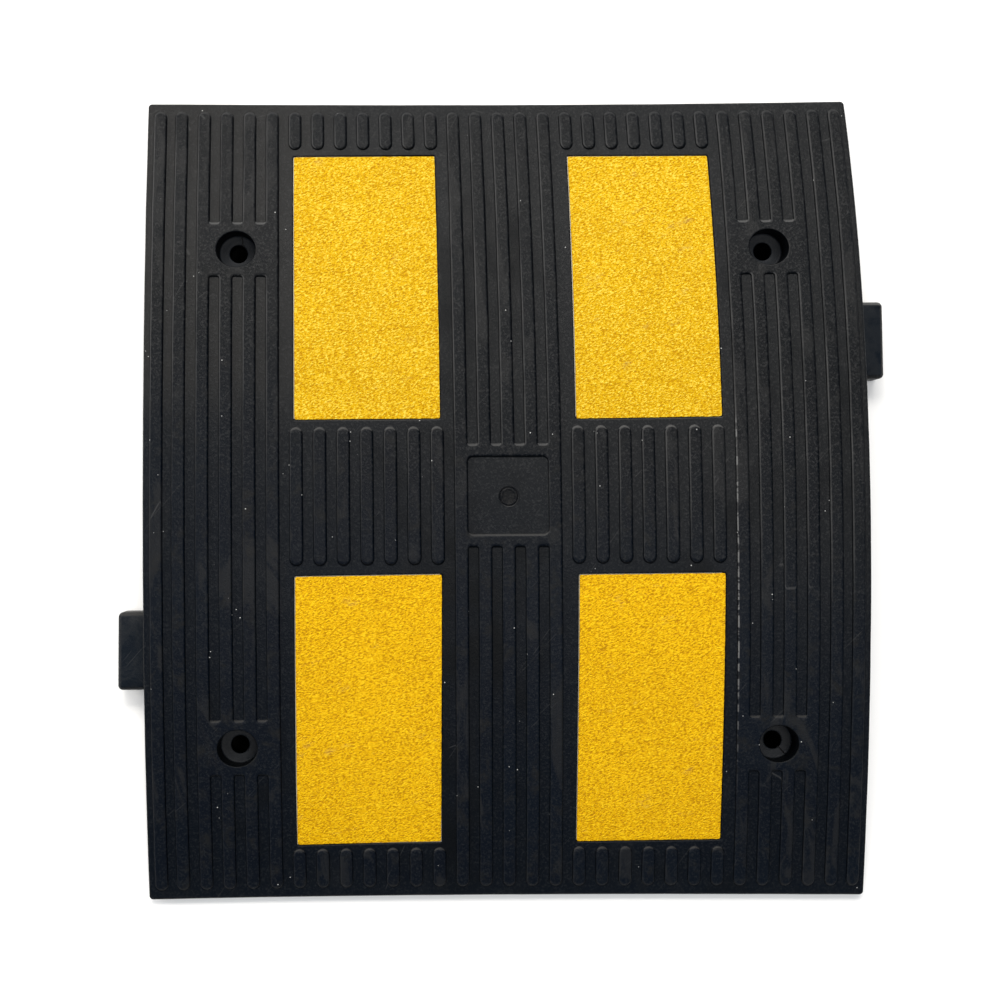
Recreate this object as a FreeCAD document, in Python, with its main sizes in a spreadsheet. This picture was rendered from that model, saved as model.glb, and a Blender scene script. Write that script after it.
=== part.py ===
"""Rubber speed bump module with four recessed retroreflective panels.

Frame: millimetres, +Z up, origin on the road surface under the centre of the module.
+X runs across the road, from module to module; traffic crosses along Y, over the long side.
The module repeats after a half turn about Z, its interlocking lugs included: each side has one
lug, and one socket for the lug of the next module.
"""

import FreeCAD, Part
import math
import os

import Sketcher

# Driving dimensions in millimetres. Counts have no unit.
DIMENSIONS = {
    "module_width": 500,        # along X, one ribbed module
    "module_length": 560,       # along Y, front edge to rear edge
    "module_height": 50,        # road surface to the top of the ribs at the crown
    "edge_thickness": 7,        # front and rear faces
    "rib_count": 31,            # ribs across the width, evenly pitched
    "rib_width": 8.2,
    "rib_height": 2,
    "rib_end_reach": 273,       # Y of the outermost rib ends
    "cut_allowance": 6,         # how far cutting profiles stand above the crown
    "middle_rib_reach": 46.2,   # Y of the rib ends between the front and rear panels
    "short_rib_start": 246,     # Y where the short ribs beyond the panels begin
    "land_length": 36.8,        # flat-topped land around each bolt hole, along Y
    "centre_land_reach": 34.2,  # Y of the ends of the land around the name plate recess
    "plate_recess_size": 56,
    "plate_recess_depth": 2.2,
    "plate_corner_radius": 4,
    "mould_mark_radius": 6,
    "mould_mark_depth": 0.6,
    "bolt_spacing_across": 373,
    "bolt_spacing_along": 344,
    "bolt_hole_diameter": 12.5,
    "bolt_head_diameter": 26,
    "bolt_seat_height": 14,     # Z of the counterbore floors
    "panel_inner_edge": 47,     # X of the panel edge nearest the centre line
    "panel_width": 100,
    "panel_start": 53.5,        # Y of the panel end nearest the crown
    "panel_end": 240.5,
    "panel_clearance": 0.3,
    "panel_recess_depth": 1.5,
    "panel_thickness": 0.9,
    "adhesive_thickness": 0.2,
    "lug_length": 54,           # along Y
    "lug_reach": 19.3,          # out of the side face
    "lug_height": 22,
    "lug_offset": 105.5,        # Y of the lug centres
    "lug_root": 10,             # how far the lug outline runs into the module
    "lug_chamfer": 3,
    "socket_clearance": 1,
    "grip_groove_count": 11,    # anti-slip grooves across the underside
    "grip_groove_pitch": 48,
    "grip_groove_width": 12,
    "grip_groove_length": 430,
    "grip_groove_depth": 3,
}

# The crown is a circular arc through both end edges. Groove floors lie on it; the rib tops,
# the panel recess floors and the panels follow arcs about the same centre.
RISE = "(Dims.module_height - Dims.rib_height - Dims.edge_thickness)"
FLOOR_RADIUS = f"((Dims.module_length / 2)^2 + {RISE}^2) / (2 * {RISE})"
CENTRE_DROP = f"({FLOOR_RADIUS} - Dims.module_height + Dims.rib_height)"
RIB_RADIUS = f"({FLOOR_RADIUS} + Dims.rib_height)"
RECESS_RADIUS = f"({FLOOR_RADIUS} - Dims.panel_recess_depth)"
PANEL_BASE_RADIUS = f"({RECESS_RADIUS} + Dims.adhesive_thickness)"
PANEL_TOP_RADIUS = f"({PANEL_BASE_RADIUS} + Dims.panel_thickness)"
CUT_LEVEL = "(Dims.module_height + Dims.cut_allowance)"
PITCH = "(Dims.module_width / Dims.rib_count)"

doc = FreeCAD.newDocument("speed_bump")


def make_sheet():
    """Dimension sheet: a name and a plain number in each row."""
    sheet = doc.addObject("Spreadsheet::Sheet", "Dims")
    for row, (alias, value) in enumerate(DIMENSIONS.items(), start=1):
        sheet.set(f"A{row}", alias)
        sheet.set(f"B{row}", str(value))
        sheet.setAlias(f"B{row}", alias)
    doc.recompute()
    return sheet


sheet = make_sheet()


def value_of(expression):
    return float(sheet.evalExpression(expression))


def point(x, y):
    return FreeCAD.Vector(x, y, 0)


# Sketch helpers ---------------------------------------------------------------------------


def origin_feature(body, role):
    return next(f for f in body.Origin.OriginFeatures if f.Role == role)


def new_sketch(body, name, role, offset=None):
    """Sketch on one of the body's origin planes, moved along the plane's normal by offset."""
    sketch = body.newObject("Sketcher::SketchObject", name)
    sketch.AttachmentSupport = (origin_feature(body, role), [""])
    sketch.MapMode = "FlatFace"
    if offset is not None:
        sketch.setExpression(".AttachmentOffset.Base.z", offset)
    return sketch


def bind(sketch, constraint, expression):
    """Add a driving constraint and bind its value to the sheet."""
    index = sketch.addConstraint(constraint)
    name = f"size_{index}"
    sketch.renameConstraint(index, name)
    sketch.setExpression(f"Constraints.{name}", expression)


def locate(sketch, kind, geometry, vertex, expression):
    """Fix one coordinate of a vertex, measured from the sketch origin."""
    value = value_of(expression)
    if value < 0:
        constraint = Sketcher.Constraint(kind, geometry, vertex, -1, 1, -value)
        bind(sketch, constraint, f"-({expression})")
    else:
        constraint = Sketcher.Constraint(kind, -1, 1, geometry, vertex, value)
        bind(sketch, constraint, expression)


def rectangle(sketch, left, right, bottom, top):
    """Rectangle whose four sides are given by expressions."""
    x0, x1 = value_of(left), value_of(right)
    y0, y1 = value_of(bottom), value_of(top)
    corners = [point(x0, y0), point(x1, y0), point(x1, y1), point(x0, y1)]
    sides = [
        sketch.addGeometry(Part.LineSegment(corners[i], corners[(i + 1) % 4]), False)
        for i in range(4)
    ]
    for i, side in enumerate(sides):
        sketch.addConstraint(Sketcher.Constraint("Coincident", side, 2, sides[(i + 1) % 4], 1))
        direction = "Horizontal" if i % 2 == 0 else "Vertical"
        sketch.addConstraint(Sketcher.Constraint(direction, side))
    locate(sketch, "DistanceX", sides[0], 1, left)
    locate(sketch, "DistanceX", sides[1], 1, right)
    locate(sketch, "DistanceY", sides[0], 1, bottom)
    locate(sketch, "DistanceY", sides[2], 1, top)


def rounded_square(sketch, side, corner_radius):
    """Square about the sketch origin, with equal corner arcs."""
    half = value_of(side) / 2
    radius = value_of(corner_radius)
    inner = half - radius
    lines = []
    arcs = []
    for turn in range(4):
        angle = turn * math.pi / 2
        rotation = FreeCAD.Rotation(FreeCAD.Vector(0, 0, 1), math.degrees(angle))
        start = rotation.multVec(point(-inner, -half))
        end = rotation.multVec(point(inner, -half))
        centre = rotation.multVec(point(inner, -inner))
        lines.append(sketch.addGeometry(Part.LineSegment(start, end), False))
        circle = Part.Circle(centre, FreeCAD.Vector(0, 0, 1), radius)
        arc = Part.ArcOfCircle(circle, angle - math.pi / 2, angle)
        arcs.append(sketch.addGeometry(arc, False))
    for turn in range(4):
        following = (turn + 1) % 4
        direction = "Horizontal" if turn % 2 == 0 else "Vertical"
        sketch.addConstraint(Sketcher.Constraint(direction, lines[turn]))
        sketch.addConstraint(Sketcher.Constraint("Tangent", lines[turn], 2, arcs[turn], 1))
        sketch.addConstraint(Sketcher.Constraint("Tangent", arcs[turn], 2, lines[following], 1))
    for turn in range(1, 4):
        sketch.addConstraint(Sketcher.Constraint("Equal", arcs[0], arcs[turn]))
    bind(sketch, Sketcher.Constraint("Radius", arcs[0], radius), corner_radius)
    locate(sketch, "DistanceY", lines[0], 1, f"-({side}) / 2")
    locate(sketch, "DistanceY", lines[2], 1, f"({side}) / 2")
    locate(sketch, "DistanceX", lines[1], 1, f"({side}) / 2")
    locate(sketch, "DistanceX", lines[3], 1, f"-({side}) / 2")


def circle(sketch, x, y, radius):
    disc = Part.Circle(point(value_of(x), value_of(y)), FreeCAD.Vector(0, 0, 1), value_of(radius))
    index = sketch.addGeometry(disc, False)
    bind(sketch, Sketcher.Constraint("Radius", index, value_of(radius)), radius)
    for kind, coordinate in (("DistanceX", x), ("DistanceY", y)):
        locate(sketch, kind, index, 3, coordinate)


def rib_outline(sketch, x, start, end):
    """Strip of rib width along Y with half-round ends; start and end are its extreme Y."""
    radius = value_of("Dims.rib_width / 2")
    centre_x = value_of(x)
    low = value_of(start) + radius
    high = value_of(end) - radius
    normal = FreeCAD.Vector(0, 0, 1)
    right = Part.LineSegment(point(centre_x + radius, low), point(centre_x + radius, high))
    left = Part.LineSegment(point(centre_x - radius, high), point(centre_x - radius, low))
    top = Part.ArcOfCircle(Part.Circle(point(centre_x, high), normal, radius), 0, math.pi)
    foot = Part.ArcOfCircle(
        Part.Circle(point(centre_x, low), normal, radius), math.pi, 2 * math.pi
    )
    loop = [sketch.addGeometry(edge, False) for edge in (right, top, left, foot)]
    for i, edge in enumerate(loop):
        sketch.addConstraint(Sketcher.Constraint("Tangent", edge, 2, loop[(i + 1) % 4], 1))
    sketch.addConstraint(Sketcher.Constraint("Vertical", loop[0]))
    bind(sketch, Sketcher.Constraint("Radius", loop[1], radius), "Dims.rib_width / 2")
    locate(sketch, "DistanceX", loop[1], 3, x)
    locate(sketch, "DistanceY", loop[1], 3, f"({end}) - Dims.rib_width / 2")
    locate(sketch, "DistanceY", loop[3], 3, f"({start}) + Dims.rib_width / 2")


def crown_arc(sketch, start, end, radius):
    """Arc about the crown centre between two Y positions, running from end to start."""
    size = value_of(radius)
    drop = value_of(CENTRE_DROP)
    first = math.acos(value_of(end) / size)
    last = math.acos(value_of(start) / size)
    base = Part.Circle(point(0, -drop), FreeCAD.Vector(0, 0, 1), size)
    arc = sketch.addGeometry(Part.ArcOfCircle(base, first, last), False)
    sketch.addConstraint(Sketcher.Constraint("PointOnObject", arc, 3, -2))
    bind(sketch, Sketcher.Constraint("DistanceY", arc, 3, -1, 1, drop), CENTRE_DROP)
    bind(sketch, Sketcher.Constraint("Radius", arc, size), radius)
    return arc


def arc_height(position, radius):
    """Z of a crown arc of the given radius at a Y position."""
    reach = value_of(radius)
    return math.sqrt(reach**2 - value_of(position) ** 2) - value_of(CENTRE_DROP)


def closed_by_crown(sketch, start, end, radius, level):
    """Region between a crown arc and a horizontal line at the given level."""
    y0, y1, z = value_of(start), value_of(end), value_of(level)
    arc = crown_arc(sketch, start, end, radius)
    near = Part.LineSegment(point(y0, arc_height(start, radius)), point(y0, z))
    flat = Part.LineSegment(point(y0, z), point(y1, z))
    far = Part.LineSegment(point(y1, z), point(y1, arc_height(end, radius)))
    near, flat, far = [sketch.addGeometry(edge, False) for edge in (near, flat, far)]
    for first, second in ((arc, near), (near, flat), (flat, far), (far, arc)):
        sketch.addConstraint(Sketcher.Constraint("Coincident", first, 2, second, 1))
    for side in (near, far):
        sketch.addConstraint(Sketcher.Constraint("Vertical", side))
    sketch.addConstraint(Sketcher.Constraint("Horizontal", flat))
    locate(sketch, "DistanceX", flat, 1, start)
    locate(sketch, "DistanceX", flat, 2, end)
    if z == 0:
        sketch.addConstraint(Sketcher.Constraint("PointOnObject", flat, 1, -1))
    else:
        locate(sketch, "DistanceY", flat, 1, level)


def crown_band(sketch, start, end, inner_radius, outer_radius):
    """Strip of constant thickness between two crown arcs."""
    outer = crown_arc(sketch, start, end, outer_radius)
    inner = crown_arc(sketch, start, end, inner_radius)
    for position, vertex in ((start, 2), (end, 1)):
        y = value_of(position)
        low = arc_height(position, inner_radius)
        high = arc_height(position, outer_radius)
        side = sketch.addGeometry(Part.LineSegment(point(y, low), point(y, high)), False)
        sketch.addConstraint(Sketcher.Constraint("Coincident", side, 1, inner, vertex))
        sketch.addConstraint(Sketcher.Constraint("Coincident", side, 2, outer, vertex))
        sketch.addConstraint(Sketcher.Constraint("Vertical", side))
        locate(sketch, "DistanceX", side, 1, position)


# Feature helpers --------------------------------------------------------------------------


def check_change(body, feature, grows):
    """Make the feature the body's tip and confirm that it adds or removes material."""
    before = 0 if body.Shape.isNull() else body.Shape.Volume
    body.Tip = feature
    doc.recompute()
    change = body.Shape.Volume - before
    if (change > 0) != grows or abs(change) < 1:
        raise RuntimeError(f"{body.Label}: {feature.Name} changes the volume by {change:.1f}")
    return feature


def pad(body, sketch, name, length, symmetric=False):
    feature = body.newObject("PartDesign::Pad", name)
    feature.Profile = sketch
    feature.setExpression("Length", length)
    feature.SideType = "Symmetric" if symmetric else "One side"
    return check_change(body, feature, grows=True)


def pocket(body, sketch, name, length, symmetric=False, reverse=False):
    feature = body.newObject("PartDesign::Pocket", name)
    feature.Profile = sketch
    feature.setExpression("Length", length)
    feature.SideType = "Symmetric" if symmetric else "One side"
    feature.Reversed = reverse
    return check_change(body, feature, grows=False)


def row_pattern(body, original, name, axis_role, spacing, count, grows):
    """Copies of one feature at an even spacing along one of the body's axes."""
    pattern = body.newObject("PartDesign::LinearPattern", name)
    pattern.Originals = [original]
    pattern.Direction = (origin_feature(body, axis_role), [""])
    pattern.Mode = "Spacing"
    pattern.setExpression("Offset", spacing)
    pattern.setExpression("Occurrences", count)
    return check_change(body, pattern, grows)


def mirror(body, original, name, plane_role, grows):
    copy = body.newObject("PartDesign::Mirrored", name)
    copy.Originals = [original]
    copy.MirrorPlane = (origin_feature(body, plane_role), [""])
    return check_change(body, copy, grows)


# Rubber moulding --------------------------------------------------------------------------

# Ribs are numbered from the -X side. These are the first ribs of each group.
SIDE_GROUPS = {"first": (0, 25), "count": "6"}
PANEL_GROUPS = {"first": (6, 18), "count": "7"}
CENTRE_GROUP = {"first": (13,), "count": "5"}


def rib_position(number):
    """X of a rib's centre line."""
    return f"({number} - (Dims.rib_count - 1) / 2) * {PITCH}"


def add_rib_group(body, name, group, spans):
    """One rib per group start and Y span, repeated at the rib pitch."""
    sketch = new_sketch(body, f"{name}_outline", "XY_Plane")
    for number in group["first"]:
        for start, end in spans:
            rib_outline(sketch, rib_position(number), start, end)
    first = pad(body, sketch, name, CUT_LEVEL)
    row_pattern(body, first, f"{name}_row", "X_Axis", PITCH, group["count"], grows=True)


def add_lands(body):
    """Rib-height lands around the bolt holes and the centre plate recess."""
    sketch = new_sketch(body, "land_outline", "XY_Plane")
    half_rib = "Dims.rib_width / 2"
    for first, last in ((2, 5), (25, 28)):
        left = f"{rib_position(first)} - {half_rib}"
        right = f"{rib_position(last)} + {half_rib}"
        for sign in (1, -1):
            middle = f"{sign} * Dims.bolt_spacing_along / 2"
            bottom = f"{middle} - Dims.land_length / 2"
            top = f"{middle} + Dims.land_length / 2"
            rectangle(sketch, left, right, bottom, top)
    left = f"{rib_position(13)} - {half_rib}"
    right = f"{rib_position(17)} + {half_rib}"
    rectangle(sketch, left, right, "-Dims.centre_land_reach", "Dims.centre_land_reach")
    pad(body, sketch, "lands", CUT_LEVEL)


def trim_to_crown(body):
    """Cut every rib and land down to the rib-top arc."""
    sketch = new_sketch(body, "crown_trim_profile", "YZ_Plane")
    reach = "(Dims.module_length / 2 + Dims.cut_allowance)"
    closed_by_crown(sketch, f"-{reach}", reach, RIB_RADIUS, f"({CUT_LEVEL} + 1)")
    pocket(body, sketch, "crown_trim", "Dims.module_width", symmetric=True)


def cut_panel_recesses(body):
    """Four shallow recesses that follow the crown, one for each reflective panel."""
    offset = "Dims.panel_inner_edge - Dims.panel_clearance"
    sketch = new_sketch(body, "panel_recess_profile", "YZ_Plane", offset)
    start = "(Dims.panel_start - Dims.panel_clearance)"
    end = "(Dims.panel_end + Dims.panel_clearance)"
    closed_by_crown(sketch, start, end, RECESS_RADIUS, CUT_LEVEL)
    closed_by_crown(sketch, f"-{end}", f"-{start}", RECESS_RADIUS, CUT_LEVEL)
    length = "Dims.panel_width + 2 * Dims.panel_clearance"
    recess = pocket(body, sketch, "panel_recess", length, reverse=True)
    mirror(body, recess, "panel_recess_mirrored", "YZ_Plane", grows=False)


def cut_centre_recess(body):
    """Square name plate recess in the crown, with a round mould mark in its floor."""
    sketch = new_sketch(body, "plate_recess_outline", "XY_Plane", "Dims.module_height")
    rounded_square(sketch, "Dims.plate_recess_size", "Dims.plate_corner_radius")
    pocket(body, sketch, "plate_recess", "Dims.plate_recess_depth")
    sketch = new_sketch(body, "mould_mark_outline", "XY_Plane", "Dims.module_height")
    circle(sketch, "0", "0", "Dims.mould_mark_radius")
    depth = "Dims.plate_recess_depth + Dims.mould_mark_depth"
    pocket(body, sketch, "mould_mark", depth)


def drill_bolt_holes(body):
    """Four counterbored holes straight down through the lands."""
    sketch = new_sketch(body, "bolt_hole_centres", "XY_Plane", "Dims.module_height")
    for sign_x in (1, -1):
        for sign_y in (1, -1):
            x = f"{sign_x} * Dims.bolt_spacing_across / 2"
            y = f"{sign_y} * Dims.bolt_spacing_along / 2"
            circle(sketch, x, y, "Dims.bolt_hole_diameter / 2")
    doc.recompute()
    hole = body.newObject("PartDesign::Hole", "bolt_holes")
    hole.Profile = sketch
    hole.DepthType = "ThroughAll"
    hole.setExpression("Diameter", "Dims.bolt_hole_diameter")
    hole.HoleCutType = "Counterbore"
    hole.HoleCutCustomValues = True
    hole.setExpression("HoleCutDiameter", "Dims.bolt_head_diameter")
    hole.setExpression("HoleCutDepth", "Dims.module_height - Dims.bolt_seat_height")
    check_change(body, hole, grows=False)


def half_turn_pair(sketch, near, far, offset, half_length):
    """Rectangle from near to far in X about Y = offset, and its half-turn copy."""
    bottom, top = f"{offset} - {half_length}", f"{offset} + {half_length}"
    rectangle(sketch, near, far, bottom, top)
    rectangle(sketch, f"-({far})", f"-({near})", f"-({top})", f"-({bottom})")


def lug_top_edges(shape):
    """Names of the edges round the exposed top of both lugs."""
    side = value_of("Dims.module_width / 2")
    top = value_of("Dims.lug_height")
    names = []
    for index, edge in enumerate(shape.Edges, start=1):
        box = edge.BoundBox
        level = abs(box.ZMin - top) < 0.01 and abs(box.ZMax - top) < 0.01
        outside = max(abs(box.XMin), abs(box.XMax)) > side + 1
        if level and outside:
            names.append(f"Edge{index}")
    return names


def add_lugs(body):
    """Two chamfered side lugs that key into the sockets of the neighbouring modules."""
    sketch = new_sketch(body, "lug_outline", "XY_Plane")
    near = "Dims.module_width / 2 - Dims.lug_root"
    far = "Dims.module_width / 2 + Dims.lug_reach"
    half_turn_pair(sketch, near, far, "Dims.lug_offset", "Dims.lug_length / 2")
    lugs = pad(body, sketch, "lugs", "Dims.lug_height")
    edges = lug_top_edges(lugs.Shape)
    chamfer = body.newObject("PartDesign::Chamfer", "lug_chamfer")
    chamfer.Base = (lugs, edges)
    chamfer.setExpression("Size", "Dims.lug_chamfer")
    check_change(body, chamfer, grows=False)


def cut_sockets(body):
    """Two sockets, open to the side and to the road, a clearance larger than the lugs."""
    sketch = new_sketch(body, "socket_outline", "XY_Plane")
    near = "Dims.module_width / 2 - Dims.lug_reach - Dims.socket_clearance"
    far = "Dims.module_width / 2 + Dims.cut_allowance"
    half_length = "(Dims.lug_length / 2 + Dims.socket_clearance)"
    half_turn_pair(sketch, near, far, "-Dims.lug_offset", half_length)
    depth = "Dims.lug_height + Dims.socket_clearance"
    pocket(body, sketch, "sockets", depth, reverse=True)


def cut_grip_grooves(body):
    """Shallow parallel grooves across the underside."""
    sketch = new_sketch(body, "grip_groove_outline", "XY_Plane")
    first = "(Dims.grip_groove_count - 1) / 2 * Dims.grip_groove_pitch"
    half_width = "Dims.grip_groove_width / 2"
    left, right = "-Dims.grip_groove_length / 2", "Dims.grip_groove_length / 2"
    rectangle(sketch, left, right, f"-({first}) - {half_width}", f"-({first}) + {half_width}")
    groove = pocket(body, sketch, "grip_groove", "Dims.grip_groove_depth", reverse=True)
    spacing, count = "Dims.grip_groove_pitch", "Dims.grip_groove_count"
    row_pattern(body, groove, "grip_groove_row", "Y_Axis", spacing, count, grows=False)


def make_rubber_body():
    body = doc.addObject("PartDesign::Body", "rubber_body")
    sketch = new_sketch(body, "side_profile", "YZ_Plane")
    half_length = "Dims.module_length / 2"
    closed_by_crown(sketch, f"-{half_length}", half_length, FLOOR_RADIUS, "0")
    pad(body, sketch, "arched_slab", "Dims.module_width", symmetric=True)

    full_span = ("-Dims.rib_end_reach", "Dims.rib_end_reach")
    middle_span = ("-Dims.middle_rib_reach", "Dims.middle_rib_reach")
    front_span = ("-Dims.rib_end_reach", "-Dims.short_rib_start")
    rear_span = ("Dims.short_rib_start", "Dims.rib_end_reach")
    add_rib_group(body, "side_ribs", SIDE_GROUPS, [full_span])
    add_rib_group(body, "centre_ribs", CENTRE_GROUP, [full_span])
    add_rib_group(body, "panel_ribs", PANEL_GROUPS, [front_span, middle_span, rear_span])
    add_lands(body)
    trim_to_crown(body)

    cut_panel_recesses(body)
    cut_centre_recess(body)
    add_lugs(body)
    cut_sockets(body)
    cut_grip_grooves(body)
    drill_bolt_holes(body)
    return body


# Reflective panels ------------------------------------------------------------------------

# Panels and adhesive films are drawn at the rear right and placed in the four quarters.
# A half turn about Z swaps front with rear, so the front pieces are drawn the same way.
QUARTERS = {"rear_right": (0, 0), "rear_left": (0, -1), "front_left": (180, 0), "front_right": (180, 1)}
SIDE_SHIFT = "(2 * Dims.panel_inner_edge + Dims.panel_width)"


def make_sheet_piece(label, quarter, inner_radius, outer_radius):
    """Curved rectangular sheet between two crown arcs, placed in one quarter."""
    body = doc.addObject("PartDesign::Body", label)
    sketch = new_sketch(body, f"{label}_section", "YZ_Plane", "Dims.panel_inner_edge")
    crown_band(sketch, "Dims.panel_start", "Dims.panel_end", inner_radius, outer_radius)
    pad(body, sketch, f"{label}_sheet", "Dims.panel_width")
    angle, side = QUARTERS[quarter]
    turn = FreeCAD.Rotation(FreeCAD.Vector(0, 0, 1), angle)
    body.Placement = FreeCAD.Placement(FreeCAD.Vector(0, 0, 0), turn)
    body.setExpression(".Placement.Base.x", f"{side} * {SIDE_SHIFT}")
    return body


def make_panels():
    pieces = []
    for quarter in QUARTERS:
        adhesive = f"adhesive_{quarter}"
        reflector = f"reflector_{quarter}"
        pieces.append(make_sheet_piece(adhesive, quarter, RECESS_RADIUS, PANEL_BASE_RADIUS))
        pieces.append(make_sheet_piece(reflector, quarter, PANEL_BASE_RADIUS, PANEL_TOP_RADIUS))
    return pieces


# Checks and export ------------------------------------------------------------------------


def check_document(pieces):
    for item in doc.Objects:
        if "Invalid" in item.State or "Error" in item.State:
            raise RuntimeError(f"{item.Name} failed: {item.State}")
    for piece in pieces:
        if piece.Shape.isNull() or not piece.Shape.isValid():
            raise RuntimeError(f"{piece.Label} has no valid shape")
        if len(piece.Shape.Solids) != 1:
            raise RuntimeError(f"{piece.Label} has {len(piece.Shape.Solids)} solids")


def export(pieces):
    os.makedirs("parts", exist_ok=True)
    for piece in pieces:
        piece.Shape.exportStep(f"parts/{piece.Label}.step")
        box = piece.Shape.BoundBox
        size = f"{box.XLength:.2f} x {box.YLength:.2f} x {box.ZLength:.2f}"
        print(f"{piece.Label}: {size} mm, {piece.Shape.Volume / 1000:.1f} cm3")


pieces = [make_rubber_body()] + make_panels()
doc.recompute()
check_document(pieces)
export(pieces)
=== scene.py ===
"""Rubber speed bump module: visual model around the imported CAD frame.

Shapes are worked out in millimetres in the part's frame and scaled to metres when the meshes
are made. The rubber moulding is one closed shell: each rib, land, recess and hole is a set
of offset loops round its plan outline, and the areas between are triangulated.
"""
import math

import bmesh
import bpy
import numpy as np
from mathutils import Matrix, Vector, noise
from mathutils.geometry import delaunay_2d_cdt


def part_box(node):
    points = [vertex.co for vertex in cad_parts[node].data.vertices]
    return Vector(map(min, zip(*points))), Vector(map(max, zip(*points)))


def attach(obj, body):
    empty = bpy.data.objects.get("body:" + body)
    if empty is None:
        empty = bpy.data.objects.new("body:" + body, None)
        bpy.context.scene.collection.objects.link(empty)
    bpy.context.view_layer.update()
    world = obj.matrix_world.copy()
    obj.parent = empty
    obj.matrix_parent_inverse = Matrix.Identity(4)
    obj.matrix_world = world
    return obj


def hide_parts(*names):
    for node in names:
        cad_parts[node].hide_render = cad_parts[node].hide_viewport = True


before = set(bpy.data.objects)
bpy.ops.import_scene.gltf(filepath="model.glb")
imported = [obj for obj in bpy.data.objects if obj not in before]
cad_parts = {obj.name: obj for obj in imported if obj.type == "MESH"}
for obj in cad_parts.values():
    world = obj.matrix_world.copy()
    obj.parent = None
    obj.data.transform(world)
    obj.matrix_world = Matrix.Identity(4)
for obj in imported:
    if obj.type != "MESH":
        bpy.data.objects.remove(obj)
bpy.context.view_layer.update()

MM = 0.001


body_high = [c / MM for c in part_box("rubber_body")[1]]

# Module sizes in millimetres: those of the CAD part, some of them trimmed to the photo.
HALF_LENGTH = body_high[1]
HEIGHT = body_high[2]
HALF_WIDTH = 250.0
LUG_OUTER = body_high[0]
EDGE_THICKNESS = 7.0
RIB_COUNT = 31
EDGE_RIBS = (0, 1, 29, 30)
BOLT_RIBS = ((2, 3, 4, 5), (25, 26, 27, 28))
SHORT_RIBS = (*range(6, 13), *range(18, 25))
CENTRE_RIBS = (13, 14, 15, 16, 17)
RIB_WIDTH = 8.2
RIB_HEIGHT = 2.0
RIB_REACH = 272.8
MIDDLE_START = -46.1
MIDDLE_END = 46.7
SHORT_START = 246.0
LAND_HALF = 18.4
CENTRE_LAND_START = -34.2
CENTRE_LAND_END = 34.4
GROOVE_CORNER = 2.1
BOLT_X = 186.5
BOLT_Y = 172.0
BOLT_SEAT = 14.0
BOLT_RADIUS = 6.25
PLATE_HALF = 28.0
PLATE_REACH = 27.1
MARK_CENTRE = (0.4, -0.8)
PLATE_CORNER = 4.0
PANEL_GAP = 0.45
PANEL_LEVEL = -0.5
PANEL_THICKNESS = 0.9
RECESS_DEPTH = 1.5
LUG_OFFSET = 105.5
LUG_HALF = 27.0
LUG_HEIGHT = 22.0
LUG_CORNER = 3.5
LUG_ROOT = 6.0              # how far a lug's block runs into the moulding
SOCKET_GAP = 1.0
SOCKET_OVERSHOOT = 5.0      # how far its cutter stands out of the moulding
SOCKET_BEVEL = 1.2
GRIP_PITCH = 48.0
GRIPS_EACH_WAY = 5
GRIP_HALF_LENGTH = 215
GRIP_HALF_WIDTH = 6
SEAT_LINE_HALF = 0.45
SEAT_LINE_DEPTH = 1.4

# Departures from the regular plan that were read off the photo.
FRONT_OVERHANG = 0.6
END_RIB_INSETS = {0: 1.0, RIB_COUNT - 1: -0.8}
COUNTERBORE_RADII = (13.6, 12.7)
# Each lug's side, and how far it lies further along Y and reaches further out.
LUGS = ((1, 1.9, 0.0), (-1, 0.3, 1.4))

PITCH = 2 * HALF_WIDTH / RIB_COUNT
RISE = HEIGHT - RIB_HEIGHT - EDGE_THICKNESS
CROWN_RADIUS = (HALF_LENGTH**2 + RISE**2) / (2 * RISE)
CROWN_DROP = CROWN_RADIUS - HEIGHT + RIB_HEIGHT

# Y positions where long straight outlines get a vertex, so that the shell follows the arch.
STATIONS = np.arange(-272.0, 272.1, 8.0)


def crown(y):
    """Z of the groove floors at a Y position."""
    return np.sqrt(CROWN_RADIUS**2 - np.square(y)) - CROWN_DROP


def rib_x(number):
    return (number - (RIB_COUNT - 1) / 2) * PITCH + END_RIB_INSETS.get(number, 0.0)


# Plan outlines ----------------------------------------------------------------------------


def split_line(start, end, step):
    """Points strictly between two corners: at the stations along Y, evenly along X."""
    run = end - start
    if step is None and abs(run[1]) > abs(run[0]):
        low, high = sorted((start[1], end[1]))
        ys = STATIONS[(STATIONS > low + 2.0) & (STATIONS < high - 2.0)]
        parts = np.sort((ys - start[1]) / run[1])
    else:
        parts = np.linspace(0, 1, int(np.linalg.norm(run) / (step or 5.0)) + 2)[1:-1]
    return start + parts[:, None] * run


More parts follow.
